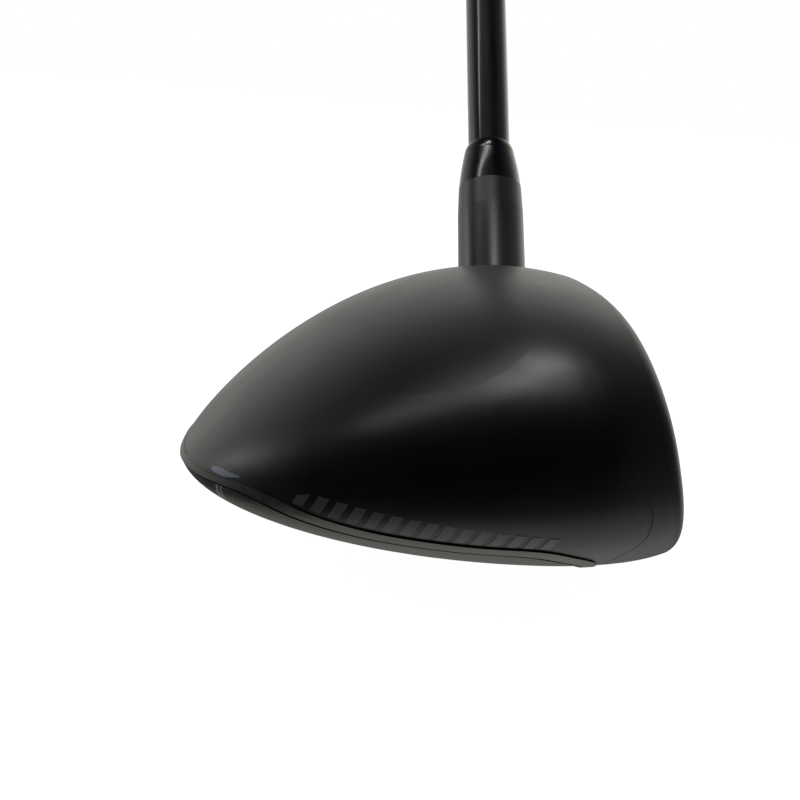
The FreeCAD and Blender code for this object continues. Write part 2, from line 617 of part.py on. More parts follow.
def grip():
    """Rubber grip, thicker toward its closed butt end."""
    low = shaft_radius(GRIP_START) + TAPE_THICK
    high = shaft_radius(SHAFT_END) + TAPE_THICK
    round_off = GRIP_END - GRIP_BUTT_ROUND
    bow = (GRIP_BUTT_RADIUS - GRIP_BUTT_ROUND / 5, GRIP_END - GRIP_BUTT_ROUND / 3)
    profile = [(low, GRIP_START), (GRIP_MOUTH_RADIUS - GRIP_MOUTH_EDGE, GRIP_START),
               (GRIP_MOUTH_RADIUS, GRIP_START + GRIP_MOUTH_LENGTH),
               (GRIP_MID_RADIUS, GRIP_START + GRIP_LOWER_LENGTH), (GRIP_BUTT_RADIUS, round_off),
               (CAP_RADIUS, GRIP_END), (CAP_RADIUS, CAP_SEAT), (VENT_RADIUS, CAP_SEAT),
               (VENT_RADIUS, SHAFT_END), (high, SHAFT_END)]
    return turned(profile, HOSEL, arcs=[(4, bow)])


def grip_butt_cap():
    profile = [(VENT_RADIUS, CAP_SEAT), (CAP_RADIUS, CAP_SEAT), (CAP_RADIUS, GRIP_END),
               (CAP_RADIUS - CAP_EDGE, CAP_TOP - CAP_EDGE), (VENT_RADIUS, CAP_TOP)]
    return turned(profile, HOSEL)


# ---- Every piece, one file each ------------------------------------------------------------
PIECES = [head_body, face_cup, crown_panel, crown_adhesive, sole_panel, sole_adhesive, badge, hot_melt,
          rear_weight, weight_gasket, rear_weight_screw, hosel_bolt, bolt_washer, bolt_retainer,
          adapter_sleeve, ferrule, shaft, tip_plug, grip_tape, grip, grip_butt_cap]

os.makedirs("parts", exist_ok=True)
for piece in PIECES:
    shape = piece()
    state = "valid" if shape.isValid() else "INVALID"
    print(piece.__name__, state, len(shape.Solids), round(shape.Volume, 1), flush=True)
    shape.exportStep("parts/" + piece.__name__ + ".step")
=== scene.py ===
import math

import bpy
from mathutils import Matrix, Vector


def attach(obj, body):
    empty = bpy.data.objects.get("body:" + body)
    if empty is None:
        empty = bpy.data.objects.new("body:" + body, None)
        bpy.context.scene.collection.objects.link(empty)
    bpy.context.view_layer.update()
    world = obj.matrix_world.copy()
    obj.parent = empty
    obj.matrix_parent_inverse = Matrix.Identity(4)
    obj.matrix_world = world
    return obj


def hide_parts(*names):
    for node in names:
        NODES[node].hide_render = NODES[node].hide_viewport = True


# A right-handed fairway wood at address: +X target, -Y toe, +Z up, metres.
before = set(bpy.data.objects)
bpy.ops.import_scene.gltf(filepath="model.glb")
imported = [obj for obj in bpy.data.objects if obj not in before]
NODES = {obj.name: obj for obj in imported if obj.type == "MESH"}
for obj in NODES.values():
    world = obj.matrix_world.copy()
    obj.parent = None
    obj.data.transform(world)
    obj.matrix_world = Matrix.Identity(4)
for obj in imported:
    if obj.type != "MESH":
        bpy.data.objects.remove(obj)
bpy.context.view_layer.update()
MM = 0.001

# ---- The head's skin, the same formula as the CAD model's, in millimetres ------------------
NOSE_X, FACE_X, WIDEST_X, TAPER_END_X = -54.4, 25.2, 2.4, 62.0
TOE_REACH, HEEL_REACH = 50.8, 49.1
NOSE_HEIGHT, WAIST_FRONT = 9.2, 25.5
SOLE_REST_X, SOLE_RISE, SOLE_LINE = 11.5, 4.1, (2.0, 1.7)
PLAN_REAR, PLAN_FRONT = 1.97, 1.46
TOE_LOWER, HEEL_LOWER = 2.43, 2.4
LOFT = math.radians(15.3)
FACE_RADIUS, CROWN_HEIGHT, SCORE_DEPTH = 280.0, 42.8, 0.25
CROWN_PEAK_X, CROWN_DROP, CROWN_LINE = 1.9, 5.6, (2.0, 1.15)
TOE_UPPER, HEEL_UPPER = 2.42, 2.2
FACE_NORMAL = Vector((math.cos(LOFT), 0, math.sin(LOFT)))
FACE_CENTRE_HEIGHT = 0.45 * CROWN_HEIGHT
FACE_CENTRE = Vector((FACE_X - FACE_CENTRE_HEIGHT * math.tan(LOFT), 0, FACE_CENTRE_HEIGHT))
FACE_BALL_CENTRE = FACE_CENTRE - FACE_NORMAL * FACE_RADIUS
LIP_LINE = [(-60, 8.7), (-54, 10.3), (-51, 11.1), (-48.3, 11.75), (-45.3, 12.3), (-43, 12.45),
            (-40.3, 12.15), (-37, 11.6), (-31.5, 11), (-26, 10.68), (-20, 10.62), (-12, 10.62),
            (-4.5, 10.65), (-2.3, 10.4), (0, 9.85), (2.2, 9.15), (4.2, 8.4), (6, 7.1), (6.9, 4.4),
            (7.2, -8)]
WEIGHT_X, PORT_RADIUS, RING_RADIUS = -34.0, 8.3, 10.2
HOSEL_RADIUS, HOSEL_TOP = 7.0, 40.5

# ---- The hosel and shaft axis ---------------------------------------------------------------
LIE = math.radians(57.5)
AXIS_GROUND = Vector((6.9, 28.5, 0)) * MM
AXIS = Vector((0, math.cos(LIE), math.sin(LIE)))
AXIS_FRAME = Matrix.Translation(AXIS_GROUND) @ Matrix.Rotation(LIE - math.pi / 2, 4, "X")


def falloff(t, p, q):
    return max(0.0, 1 - abs(t) ** p) ** (1 / q)


def sole_height(x):
    if x < SOLE_REST_X:
        return NOSE_HEIGHT * (1 - falloff((SOLE_REST_X - x) / (SOLE_REST_X - NOSE_X), *SOLE_LINE))
    return SOLE_RISE * ((x - SOLE_REST_X) / (FACE_X - SOLE_REST_X)) ** 2


def waist_height(x):
    return NOSE_HEIGHT + (WAIST_FRONT - NOSE_HEIGHT) * (x - NOSE_X) / (FACE_X - NOSE_X)


def width_share(x):
    if x < WIDEST_X:
        return falloff((WIDEST_X - x) / (WIDEST_X - NOSE_X), PLAN_REAR, PLAN_REAR)
    return falloff((x - WIDEST_X) / (TAPER_END_X - WIDEST_X), PLAN_FRONT, 2)


def crown_height(x):
    if x < CROWN_PEAK_X:
        t = (CROWN_PEAK_X - x) / (CROWN_PEAK_X - NOSE_X)
        return NOSE_HEIGHT + (CROWN_HEIGHT - NOSE_HEIGHT) * falloff(t, *CROWN_LINE)
    return CROWN_HEIGHT - CROWN_DROP * ((x - CROWN_PEAK_X) / (FACE_X - CROWN_PEAK_X)) ** 2


def lip_height(x):
    """Height of the lip's upper edge at a station."""
    for (x0, z0), (x1, z1) in zip(LIP_LINE, LIP_LINE[1:]):
        if x0 <= x < x1:
            return z0 + (z1 - z0) * (x - x0) / (x1 - x0)
    return LIP_LINE[-1][1]


def skin_offset(p):
    """How far a point lies outside the head's skin, measured within its station."""
    share = max(width_share(min(max(p.x, NOSE_X + 0.01), TAPER_END_X - 1)), 0.001)
    waist = waist_height(p.x)
    if p.z > waist:
        half, power = crown_height(p.x) - waist, TOE_UPPER if p.y < 0 else HEEL_UPPER
    else:
        half, power = waist - sole_height(p.x), TOE_LOWER if p.y < 0 else HEEL_LOWER
    reach = (TOE_REACH if p.y < 0 else HEEL_REACH) * share
    size = (abs(p.y / reach) ** power + abs((p.z - waist) / max(half, 0.01)) ** power) ** (1 / power)
    return (1 - 1 / max(size, 0.001)) * math.hypot(p.y, p.z - waist)


def hosel_place(p):
    """A point as distance along the hosel axis and distance from it, in millimetres."""
    off = p - AXIS_GROUND / MM
    along = off.dot(AXIS)
    return along, (off - AXIS * along).length


def weight_place(p):
    """A point as depth below the sole at the rear weight, and distance from its axis."""
    slope = sole_height(WEIGHT_X + 0.5) - sole_height(WEIGHT_X - 0.5)
    outward = Vector((slope, 0, -1)).normalized()
    off = p - Vector((WEIGHT_X, 0, sole_height(WEIGHT_X)))
    along = off.dot(outward)
    return -along, (off - outward * along).length


def skirt_point(x, z):
    """The toe-side skirt below the widest line, at a station and a height."""
    depth = (waist_height(x) - z) / (waist_height(x) - sole_height(x))
    return Vector((x, -TOE_REACH * width_share(x) * falloff(depth, TOE_LOWER, TOE_LOWER), z))


# ---- Material helpers -----------------------------------------------------------------------
class Finish:
    """A node material under construction: a Principled shader and what feeds it."""

    def __init__(self, name, roughness=0.5, metallic=0.0, **sockets):
        self.material = bpy.data.materials.new(name)
        self.material.use_nodes = True
        self.tree = self.material.node_tree
        self.shader = self.tree.nodes["Principled BSDF"]
        self.shader.inputs["Roughness"].default_value = roughness
        self.shader.inputs["Metallic"].default_value = metallic
        for label, value in sockets.items():
            self.shader.inputs[label.replace("_", " ")].default_value = value
        self.place = self.node("ShaderNodeTexCoord").outputs["Object"]

    def node(self, kind, **settings):
        made = self.tree.nodes.new(kind)
        for key, value in settings.items():
            setattr(made, key, value)
        return made

    def link(self, source, target):
        self.tree.links.new(source, target)

    def mapped(self, scale=(1, 1, 1), along_axis=False):
        """Object coordinates, stretched, or turned so that Z runs up the shaft."""
        source = self.place
        if along_axis:
            turn = self.node("ShaderNodeMapping")
            turn.inputs["Rotation"].default_value = (math.pi / 2 - LIE, 0, 0)
            upright = Matrix.Rotation(math.pi / 2 - LIE, 3, "X")
            turn.inputs["Location"].default_value = -(upright @ AXIS_GROUND)
            self.link(source, turn.inputs["Vector"])
            source = turn.outputs["Vector"]
        mapping = self.node("ShaderNodeMapping")
        mapping.inputs["Scale"].default_value = scale
        self.link(source, mapping.inputs["Vector"])
        return mapping.outputs["Vector"]

    def noise(self, size, detail=3.0, scale=(1, 1, 1), along_axis=False, rough=0.55):
        """Noise whose blobs are about size millimetres across."""
        texture = self.node("ShaderNodeTexNoise")
        texture.inputs["Scale"].default_value = 1 / (size * MM)
        texture.inputs["Detail"].default_value = detail
        texture.inputs["Roughness"].default_value = rough
        self.link(self.mapped(scale, along_axis), texture.inputs["Vector"])
        return texture.outputs["Fac"]

    def ramp(self, factor, low, high, start=0.35, end=0.65):
        """Maps a factor to a colour between low and high."""
        ramp = self.node("ShaderNodeValToRGB")
        ramp.color_ramp.elements[0].position = start
        ramp.color_ramp.elements[1].position = end
        ramp.color_ramp.elements[0].color = (*low, 1)
        ramp.color_ramp.elements[1].color = (*high, 1)
        self.link(factor, ramp.inputs["Fac"])
        return ramp.outputs["Color"]

    def span(self, factor, low, high, start=0.3, end=0.7):
        """Maps a factor to a number between low and high."""
        span = self.node("ShaderNodeMapRange")
        span.inputs["From Min"].default_value = start
        span.inputs["From Max"].default_value = end
        span.inputs["To Min"].default_value = low
        span.inputs["To Max"].default_value = high
        self.link(factor, span.inputs["Value"])
        return span.outputs["Result"]

    def maths(self, operation, *values):
        """A Math node over sockets and plain numbers."""
        node = self.node("ShaderNodeMath", operation=operation)
        for socket, value in zip(node.inputs, values):
            if isinstance(value, (int, float)):
                socket.default_value = value
            else:
                self.link(value, socket)
        return node.outputs[0]

    def coordinates(self, along_axis=False):
        """X, Y and Z as sockets, in metres."""
        split = self.node("ShaderNodeSeparateXYZ")
        self.link(self.mapped(along_axis=True) if along_axis else self.place, split.inputs["Vector"])
        return list(split.outputs)

    def band(self, factor, low, high, soft):
        """1 between low and high millimetres and 0 outside, with edges of plus and minus soft."""
        rise = self.span(factor, 0.0, 1.0, (low - soft) * MM, (low + soft) * MM)
        fall = self.span(factor, 1.0, 0.0, (high - soft) * MM, (high + soft) * MM)
        return self.maths("MULTIPLY", rise, fall)

    def mix(self, factor, first, second):
        mix = self.node("ShaderNodeMix", data_type="RGBA")
        self.link(factor, mix.inputs["Factor"])
        self.link(first, mix.inputs["A"])
        self.link(second, mix.inputs["B"])
        return mix.outputs["Result"]

    def colour(self, source):
        self.link(source, self.shader.inputs["Base Color"])

    def roughness(self, source):
        self.link(source, self.shader.inputs["Roughness"])

    def bump(self, height, depth, strength=1.0):
        """Adds relief, depth in millimetres; several calls stack."""
        bump = self.node("ShaderNodeBump")
        bump.inputs["Distance"].default_value = depth * MM
        bump.inputs["Strength"].default_value = strength
        self.link(height, bump.inputs["Height"])
        normal = self.shader.inputs["Normal"]
        if normal.links:
            self.link(normal.links[0].from_socket, bump.inputs["Normal"])
        self.link(bump.outputs["Normal"], normal)


def scuffs(finish, amount, size=2.2, stretch=(1, 0.12, 1), along_axis=False):
    """Sparse fine scratches, as a mask up to amount."""
    return finish.span(finish.noise(size, 6, stretch, along_axis, rough=0.7), 0.0, amount, 0.66, 0.74)


PAINT_ROUGHNESS = (0.32, 0.37)
# the seam between face cup and body, seen from the side: height and distance forward
CUP_SEAM = ((-8, 7.8), (5, 7.8), (8.6, 8.4), (11.2, 10.2), (14.2, 11.2), (22.2, 7.6), (31, 3.8),
            (38, 1.6), (52, 1.5))
SEAM_SPAN = 20.0                    # the curve node holds distances up to this as 0 to 1
SEAM_HALF_WIDTH = 0.14
SEAM_HEEL_END = -9.5                # the cup stops here, on the toe side of the hosel
SEAM_TOP = 25.0                     # above this the seam is filled and painted over
SEAM_DULLING = 0.3                  # how much rougher the paint is along it


def cup_seam(finish):
    """1 along the face cup's seam, 0 elsewhere."""
    x, y, z = finish.coordinates()
    low, high = CUP_SEAM[0][0], CUP_SEAM[-1][0]
    curve = finish.node("ShaderNodeFloatCurve")
    line = curve.mapping.curves[0]
    places = [((height - low) / (high - low), forward / SEAM_SPAN) for height, forward in CUP_SEAM]
    line.points[0].location, line.points[-1].location = places[0], places[-1]
    for place in places[1:-1]:
        line.points.new(*place)
    curve.mapping.update()
    finish.link(finish.span(z, 0, 1, low * MM, high * MM), curve.inputs["Value"])
    forward = finish.span(x, 0, 1, 0, SEAM_SPAN * MM)
    mask = finish.maths("COMPARE", forward, curve.outputs["Value"], SEAM_HALF_WIDTH / SEAM_SPAN)
    for coordinate, limit in ((y, SEAM_HEEL_END), (z, SEAM_TOP)):
        mask = finish.maths("MULTIPLY", mask, finish.maths("LESS_THAN", coordinate, limit * MM))
    return mask


def matte_black():
    """Satin-matte paint with fine grain, faint smudges and a few light rubs."""
    finish = Finish("matte_black_paint", IOR=1.5)
    smudge = finish.noise(14, 4)
    base = finish.ramp(smudge, (0.0075, 0.0078, 0.0084), (0.0115, 0.0115, 0.0118))
    rub = finish.ramp(smudge, (0.03, 0.03, 0.03), (0.035, 0.035, 0.034))
    finish.colour(finish.mix(scuffs(finish, 0.25), base, rub))
    plain = finish.span(smudge, *PAINT_ROUGHNESS)
    finish.roughness(finish.maths("MULTIPLY_ADD", cup_seam(finish), SEAM_DULLING, plain))
    finish.bump(finish.noise(0.22, 2), 0.005)
    return finish.material


def simple(name, low, high, size, roughness, grain, depth, scale=(1, 1, 1), along_axis=False,
           metallic=0.0, worn=(0.0, 0.0, 0.0), **sockets):
    """A finish with colour, roughness, relief and light scratches from noise."""
    finish = Finish(name, metallic=metallic, **sockets)
    blotch = finish.noise(size, 4, scale, along_axis)
    base = finish.ramp(blotch, low, high)
    if any(worn):
        base = finish.mix(scuffs(finish, 0.6, along_axis=along_axis), base, finish.ramp(blotch, worn, worn))
    finish.colour(base)
    finish.roughness(finish.span(blotch, roughness - 0.05, roughness + 0.05))
    finish.bump(finish.noise(grain, 3, scale, along_axis), depth)
    return finish


def milled_face():
    """Dark blasted steel with fine cross-milling and ball marks."""
    finish = Finish("milled_face_steel", metallic=0.7)
    blotch = finish.noise(9, 4)
    base = finish.ramp(blotch, (0.035, 0.035, 0.037), (0.06, 0.06, 0.062))
    finish.colour(finish.mix(scuffs(finish, 0.5, 1.6, (1, 1, 0.15)), base,
                             finish.ramp(blotch, (0.16, 0.16, 0.16), (0.2, 0.2, 0.19))))
    finish.roughness(finish.span(blotch, 0.34, 0.46))
    wave = finish.node("ShaderNodeTexWave", wave_type="BANDS", bands_direction="Z")
    wave.inputs["Scale"].default_value = 1 / (2 * MM)
    wave.inputs["Distortion"].default_value = 0.4
    finish.link(finish.place, wave.inputs["Vector"])
    finish.bump(wave.outputs["Fac"], 0.01)
    finish.bump(finish.noise(0.25, 2), 0.006)
    return finish.material


FIELD_TAPER = 0.16        # how fast the sole's dark field narrows toward the face
FIELD_HALF = 13.0
PINSTRIPES = [(14.0, 14.5), (15.3, 15.6)]
PRINT_EDGE = 0.05         # half the softness of a printed edge


def sole_finish():
    """Brushed gunmetal with a darker satin field down the middle and two pale pinstripes."""
    finish = simple("gunmetal_sole", (0.05, 0.049, 0.045), (0.07, 0.068, 0.063), 7, 0.38, 0.25, 0.008,
                    scale=(1, 7, 7), metallic=0.75, worn=(0.22, 0.215, 0.2))
    plain = finish.shader.inputs["Base Color"].links[0].from_socket
    x, y, _ = finish.coordinates()
    width = finish.maths("MULTIPLY_ADD", x, FIELD_TAPER, finish.maths("ABSOLUTE", y))
    field = finish.span(width, 1.0, 0.0, (FIELD_HALF - PRINT_EDGE) * MM, (FIELD_HALF + PRINT_EDGE) * MM)
    satin = finish.ramp(finish.noise(6, 4), (0.014, 0.014, 0.015), (0.024, 0.024, 0.025))
    colour = finish.mix(field, plain, satin)
    for near, far in PINSTRIPES:
        pale = finish.ramp(finish.noise(2, 3), (0.4, 0.42, 0.45), (0.5, 0.52, 0.55))
        colour = finish.mix(finish.band(width, near, far, 0.8 * PRINT_EDGE), colour, pale)
    finish.colour(colour)
    return finish.material


# rings of paint on the shaft: from and to along it, and the two colours they vary between
PALE_RING = (0.45, 0.45, 0.46), (0.55, 0.55, 0.56)
BLUE_RING = (0.10, 0.17, 0.26), (0.14, 0.22, 0.32)
SHAFT_RINGS = [(806.0, 807.2, PALE_RING), (802.0, 804.8, BLUE_RING), (799.6, 800.8, PALE_RING),
               (640.0, 641.0, BLUE_RING)]


def shaft_finish():
    """Clear-coated carbon with a faint warm weave, and pale rings below the grip."""
    finish = simple("shaft_carbon", (0.010, 0.0075, 0.0078), (0.019, 0.0135, 0.0135), 1.2, 0.32, 0.4, 0.004,
                    scale=(1, 1, 0.08), along_axis=True, Coat_Weight=0.8, Coat_Roughness=0.09)
    colour = finish.shader.inputs["Base Color"].links[0].from_socket
    along = finish.coordinates(along_axis=True)[2]
    for low, high, tones in SHAFT_RINGS:
        ring = finish.ramp(finish.noise(2, 3), *tones)
        colour = finish.mix(finish.band(along, low, high, PRINT_EDGE), colour, ring)
    finish.colour(colour)
    return finish.material


def paint_node(name, *materials):
    data = NODES[name].data
    data.materials.clear()
    for material in materials:
        data.materials.append(material.material if isinstance(material, Finish) else material)
    return data


def assign(name, materials, choose):
    """Gives each polygon of a node one of the materials, by its centre in millimetres."""
    data = paint_node(name, *materials)
    place = NODES[name].matrix_world
    for polygon in data.polygons:
        polygon.material_index = choose(place @ polygon.center / MM)


# ---- Finishes on the CAD nodes --------------------------------------------------------------
BLACK = matte_black()
LIP_METAL = simple("satin_lip", (0.085, 0.084, 0.077), (0.11, 0.108, 0.1), 5, 0.36, 0.3, 0.006,
                   scale=(1, 5, 5), metallic=0.7, worn=(0.25, 0.245, 0.23))
# painted light: a pale, dull paint for the lip's groove, lighter so that the recess reads lit where the lamps
# leave it dark
GROOVE_PAINTED_LIGHT = simple("groove_painted_light", (0.17, 0.168, 0.16), (0.21, 0.207, 0.2), 4, 0.8, 0.4, 0.01)
MACHINED = simple("machined_steel", (0.22, 0.22, 0.22), (0.32, 0.32, 0.31), 3, 0.32, 0.2, 0.01,
                  scale=(1, 1, 6), along_axis=True, metallic=1.0)
CAST = simple("bare_casting", (0.13, 0.125, 0.12), (0.2, 0.195, 0.185), 4, 0.55, 0.5, 0.04, metallic=0.8)


# what tells the finishes apart, in millimetres
BORE_MARGIN, PORT_MARGIN, RING_MARGIN = 0.3, 0.2, 0.1
PORT_DEPTH, RING_DEPTH = 12.0, 1.5
LIP_MARGIN, LIP_FRONT_X, LIP_PROUD = 0.25, 7.3, 0.04
GROOVE_OFFSETS = (-0.6, -0.06)
INSIDE_OFFSET, CROWN_PAINT_OFFSET = -1.1, -0.3
FACE_FROM_X, FACE_TOLERANCE, FACE_THICKNESS = 5.0, 0.03, 1.5
SCORE_HALF_LENGTH, SCORE_OFFSET = 21.5, -1.0


def body_slot(p):
    """Paint outside; the lip satin; its groove a pale dull paint that is painted light, standing in for the
    light the recess doesn't get; bores machined; the inside bare.
    """
    along, off_axis = hosel_place(p)
    if off_axis < HOSEL_RADIUS - BORE_MARGIN and along < HOSEL_TOP:
        return 2
    depth, off_weight = weight_place(p)
    if off_weight < PORT_RADIUS + PORT_MARGIN and depth < PORT_DEPTH:
        return 2
    if off_weight < RING_RADIUS + RING_MARGIN and depth < RING_DEPTH:
        return 1
    offset = skin_offset(p)
    if p.z < lip_height(p.x) + LIP_MARGIN and p.x < LIP_FRONT_X:
        # the groove gets the pale paint that stands in for light in the recess (painted light)
        if GROOVE_OFFSETS[0] < offset < GROOVE_OFFSETS[1]:
            return 4
        if offset > LIP_PROUD:
            return 1
    return 3 if offset < INSIDE_OFFSET and off_axis > HOSEL_RADIUS + RING_MARGIN else 0


assign("head_body", (BLACK, LIP_METAL, MACHINED, CAST, GROOVE_PAINTED_LIGHT), body_slot)


def cup_slot(p):
    """Milled steel on the face, pale fill in the score lines, bare inside."""
    depth = FACE_RADIUS - (p - FACE_BALL_CENTRE).length
    offset = skin_offset(p)
    if p.x > FACE_FROM_X and abs(depth) < FACE_TOLERANCE:
        return 1
    in_line = FACE_TOLERANCE <= depth < SCORE_DEPTH + FACE_TOLERANCE
    if p.x > FACE_FROM_X and in_line and abs(p.y) < SCORE_HALF_LENGTH and offset < SCORE_OFFSET:
        return 2
    return 3 if offset < INSIDE_OFFSET and depth > FACE_THICKNESS else 0


SCORE_FILL = simple("score_line_fill", (0.5, 0.5, 0.49), (0.62, 0.62, 0.6), 2, 0.5, 0.3, 0.01)
assign("face_cup", (BLACK, milled_face(), SCORE_FILL, CAST), cup_slot)
CARBON = simple("bare_carbon", (0.015, 0.015, 0.016), (0.03, 0.03, 0.031), 1.5, 0.4, 0.5, 0.02,
                scale=(3, 1, 1))
assign("crown_panel", (BLACK, CARBON), lambda p: 1 if skin_offset(p) < CROWN_PAINT_OFFSET else 0)
paint_node("sole_panel", sole_finish())
paint_node("badge", simple("badge_enamel", (0.17, 0.24, 0.36), (0.23, 0.30, 0.43), 3, 0.3, 0.4, 0.004,
                           Coat_Weight=0.6))
EPOXY = simple("cured_epoxy", (0.3, 0.27, 0.18), (0.4, 0.37, 0.26), 3, 0.4, 0.5, 0.02)
for name in ("crown_adhesive", "sole_adhesive"):
    paint_node(name, EPOXY)
paint_node("hot_melt", simple("hot_melt_glue", (0.6, 0.53, 0.36), (0.75, 0.68, 0.5), 4, 0.35, 1.5, 0.1))
paint_node("rear_weight", simple("turned_steel", (0.3, 0.3, 0.3), (0.4, 0.4, 0.39), 5, 0.28, 0.2, 0.006,
                                 metallic=1.0, worn=(0.55, 0.55, 0.54)))
OXIDE = simple("black_oxide", (0.02, 0.02, 0.022), (0.045, 0.045, 0.05), 2, 0.35, 0.25, 0.006,
               metallic=0.7, worn=(0.2, 0.2, 0.2))
for name in ("rear_weight_screw", "hosel_bolt", "bolt_washer", "bolt_retainer"):
    paint_node(name, OXIDE)
paint_node("weight_gasket", simple("gasket_rubber", (0.01, 0.01, 0.01), (0.02, 0.02, 0.02), 2, 0.7, 0.3,
                                   0.01))
paint_node("adapter_sleeve", simple("anodised_sleeve", (0.11, 0.11, 0.113), (0.135, 0.135, 0.139), 6, 0.36,
                                    0.15, 0.003, scale=(1, 1, 0.2), along_axis=True, metallic=0.85,
                                    worn=(0.2, 0.2, 0.2)))
paint_node("ferrule", simple("ferrule_gloss", (0.006, 0.006, 0.009), (0.01, 0.01, 0.013), 5, 0.2, 0.6,
                             0.002, Coat_Weight=0.5, Coat_Roughness=0.1))
paint_node("shaft", shaft_finish())
paint_node("tip_plug", simple("cork", (0.36, 0.22, 0.11), (0.55, 0.38, 0.22), 1, 0.8, 0.8, 0.1))
paint_node("grip_tape", simple("paper_tape", (0.7, 0.67, 0.58), (0.82, 0.79, 0.7), 4, 0.8, 0.3, 0.02))
paint_node("grip_butt_cap", simple("cap_plastic", (0.02, 0.02, 0.021), (0.035, 0.035, 0.036), 4, 0.45, 0.4,
                                   0.01))


def add_piece(name, points, faces, material, smooth=True):
    """A new mesh object of one material."""
    mesh = bpy.data.meshes.new(name)
    mesh.from_pydata(points, [], faces)
    for polygon in mesh.polygons:
        polygon.use_smooth = smooth
    mesh.materials.append(material)
    piece = bpy.data.objects.new(name, mesh)
    bpy.context.collection.objects.link(piece)
    return piece


# ---- Printed bars on the toe skirt, plain slanted marks just proud of the paint --------------
BAR_COUNT = 15
BAR_START, BAR_PITCH, BAR_WIDTH, BAR_LEAN = -38.0, 2.4, 1.5, 0.45
BAR_GAP_BELOW = 0.55      # between the lip and the bars
BAR_TOPS = (14.5, 13.3)   # height of the bars' tops at the first and the last
BAR_PROUD = 0.04
BAR_ACROSS, BAR_ROWS = 4, 6


def outward_skirt(x, z):
    """A point just outside the skirt."""
    here, step = skirt_point(x, z), 0.2
    along = skirt_point(x + step, z) - here
    up = skirt_point(x, z + step) - here
    return (here + along.cross(up).normalized() * BAR_PROUD) * MM


def skirt_bars():
    points, faces = [], []
    for k in range(BAR_COUNT):
        left = BAR_START + k * BAR_PITCH
        top = BAR_TOPS[0] + (BAR_TOPS[1] - BAR_TOPS[0]) * k / (BAR_COUNT - 1)
        low = max(lip_height(left), lip_height(left + BAR_WIDTH)) + BAR_GAP_BELOW
        first = len(points)
        for i in range(BAR_ROWS + 1):
            z = low + (top - low) * i / BAR_ROWS
            for j in range(BAR_ACROSS + 1):
                x = left + BAR_WIDTH * j / BAR_ACROSS + BAR_LEAN * (z - low)
                points.append(outward_skirt(x, z))
        for i in range(BAR_ROWS):
            for j in range(BAR_ACROSS):
                a = first + i * (BAR_ACROSS + 1) + j
                faces.append((a, a + 1, a + BAR_ACROSS + 2, a + BAR_ACROSS + 1))
    paint = simple("bar_print", (0.09, 0.09, 0.088), (0.12, 0.12, 0.117), 3, 0.4, 0.3, 0.002)
    bars = add_piece("skirt_bars", points, faces, paint.material)
    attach(bars, "head")


skirt_bars()


# ---- Grip: the CAD grip's outline with a tread cut into it ----------------------------------
GRIP_PROFILE = [(5.9, 822.0), (8.4, 822.0), (9.0, 822.6), (9.2, 823.5), (10.4, 942.0), (13.4, 1085.5),
                (13.2, 1087.0), (12.5, 1088.2), (11.0, 1089.0), (11.0, 1087.6), (1.5, 1087.6)]
TREAD = (836.0, 1072.0)
TREAD_BREAKS = [(936.0, 948.0), (1010.0, 1016.0)]
TREAD_LOBES, TREAD_PITCH, TREAD_DEPTH, TREAD_EDGE = 12, 5.0, 0.32, 3.0
GRIP_AROUND, GRIP_STEP = 144, 0.9
RING_GROOVES = (829.0, 832.0, 938.5, 945.5, 1076.0)
RING_WIDTH, CUT_WIDTH = 0.5, 0.3


def tread_depth(turn, s):
    """How deep the tread is cut at a place on the grip."""
    ring = sum(math.exp(-((s - at) / RING_WIDTH) ** 2) for at in RING_GROOVES)
    inside = min(s - TREAD[0], TREAD[1] - s)
    for low, high in TREAD_BREAKS:
        inside = min(inside, max(low - s, s - high))
    shown = min(1.0, max(0.0, inside / TREAD_EDGE))
    slant = math.pi * s / TREAD_PITCH
    cuts = [math.sin(TREAD_LOBES * turn + slant), math.sin(TREAD_LOBES * turn - slant)]
    cut = max(math.exp(-(v / CUT_WIDTH) ** 2) for v in cuts)
    return TREAD_DEPTH * max(shown * cut, min(ring, 1.0))


def grip_rings():
    """Radius and height of every ring of the grip, close together along its long sides."""
    rings = []
    for (r0, s0), (r1, s1) in zip(GRIP_PROFILE, GRIP_PROFILE[1:]):
        count = max(1, round((s1 - s0) / GRIP_STEP))
        rings += [(r0 + (r1 - r0) * i / count, s0 + (s1 - s0) * i / count) for i in range(count)]
    return rings + GRIP_PROFILE[-1:]


def treaded_grip():
    points, faces = [], []
    rings = grip_rings()
    for r, s in rings:
        for k in range(GRIP_AROUND):
            turn = 2 * math.pi * k / GRIP_AROUND
            deep = r - tread_depth(turn, s) if GRIP_PROFILE[3][1] <= s <= GRIP_PROFILE[5][1] else r
            points.append(AXIS_FRAME @ (Vector((deep * math.cos(turn), deep * math.sin(turn), s)) * MM))
    for i in range(len(rings) - 1):
        for k in range(GRIP_AROUND):
            a, b = i * GRIP_AROUND + k, i * GRIP_AROUND + (k + 1) % GRIP_AROUND
            faces.append((a, b, b + GRIP_AROUND, a + GRIP_AROUND))
    rubber = simple("grip_rubber", (0.012, 0.012, 0.012), (0.024, 0.024, 0.024), 6, 0.66, 0.25, 0.03)
    grip = add_piece("grip_tread", points, faces, rubber.material)
    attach(grip, "shaft_assembly")
    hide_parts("grip")


treaded_grip()


# ---- Setting marks on the heel side of the sleeve, and the pointer on the hosel --------------
TICKS = 5
TICK_GAP, TICK_HEIGHT, TICK_WIDTH, TICK_PROUD = 0.8, 2.2, 0.5, 0.03
TICK_STEP = math.pi / 4
POINTER_DROPS = (2.6, 0.6)          # its ends, down from the hosel's top
PATCH_ACROSS = 4


